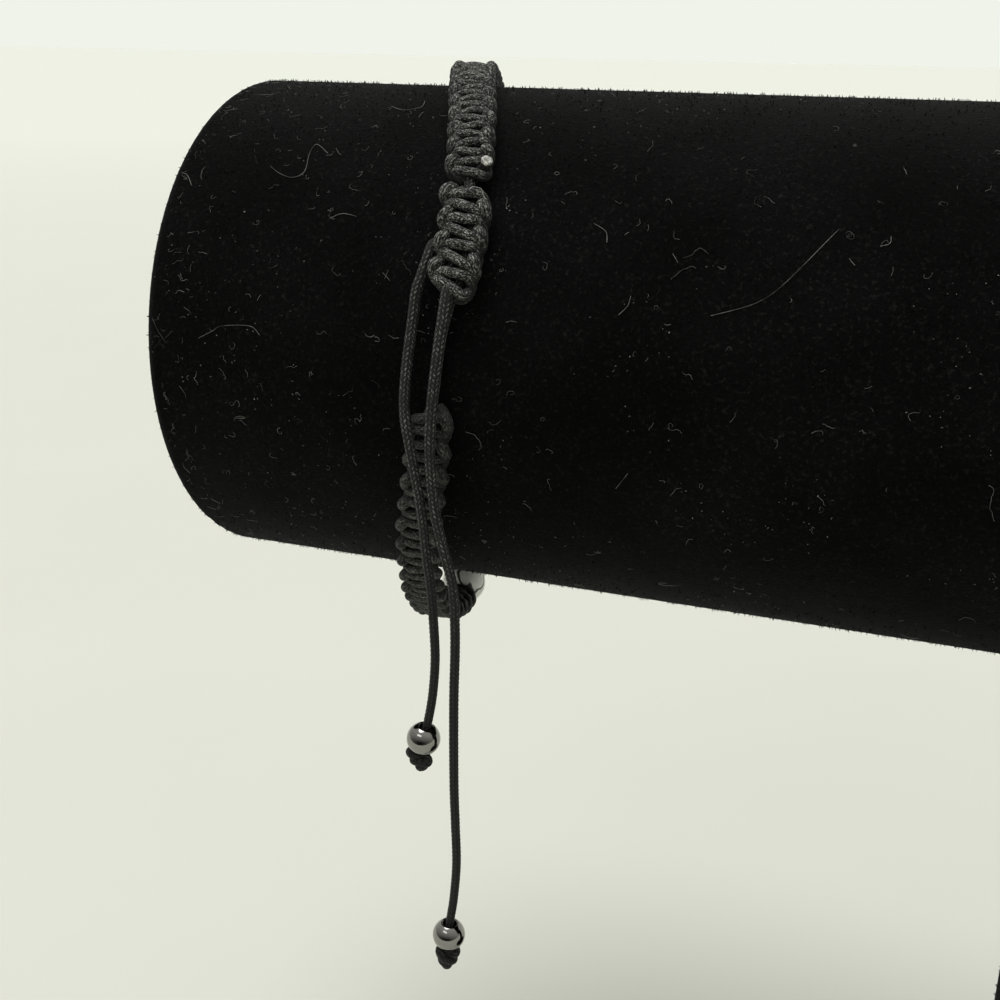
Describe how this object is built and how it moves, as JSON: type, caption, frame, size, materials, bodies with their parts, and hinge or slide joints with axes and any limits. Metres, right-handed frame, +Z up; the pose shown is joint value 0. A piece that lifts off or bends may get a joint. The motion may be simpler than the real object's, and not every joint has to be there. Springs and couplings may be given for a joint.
{
  "type": "macrame bracelet on a bracelet display stand",
  "caption": "Adjustable knotted cord bracelet with stone beads and beaded tails, hung on a velvet covered T-bar display stand.",
  "frame": {"origin": "middle of the underside of the stand's base", "axes": "+Z up, +X along the display bar away from the bracelet's end, -Y the front where the slider hangs"},
  "size_m": [0.24, 0.09, 0.1637],
  "materials": {
    "velvet": "deep black pile velvet",
    "cord": "charcoal braided nylon cord",
    "howlite": "polished white stone with dark veins",
    "metal_bead": "polished gunmetal"
  },
  "bodies": {
    "root": {"display_bar": "velvet", "display_post": "velvet", "display_base": "velvet", "upper_band": "cord", "lower_band": "cord", "slider_knot": "cord", "melted_end": "cord", "core_top": "cord", "core_run": "cord", "bead_thread": "cord", "howlite_bead_1": "howlite", "howlite_bead_2": "howlite", "howlite_bead_3": "howlite", "howlite_bead_4": "howlite", "howlite_bead_5": "howlite", "howlite_bead_6": "howlite", "howlite_bead_7": "howlite", "howlite_bead_8": "howlite", "howlite_bead_9": "howlite", "howlite_bead_10": "howlite", "howlite_bead_11": "howlite", "howlite_bead_12": "howlite", "howlite_bead_13": "howlite", "tail_a_cord": "cord", "tail_a_bead": "metal_bead", "tail_a_knot": "cord", "tail_b_cord": "cord", "tail_b_bead": "metal_bead", "tail_b_knot": "cord"}
  },
  "joints": []
}
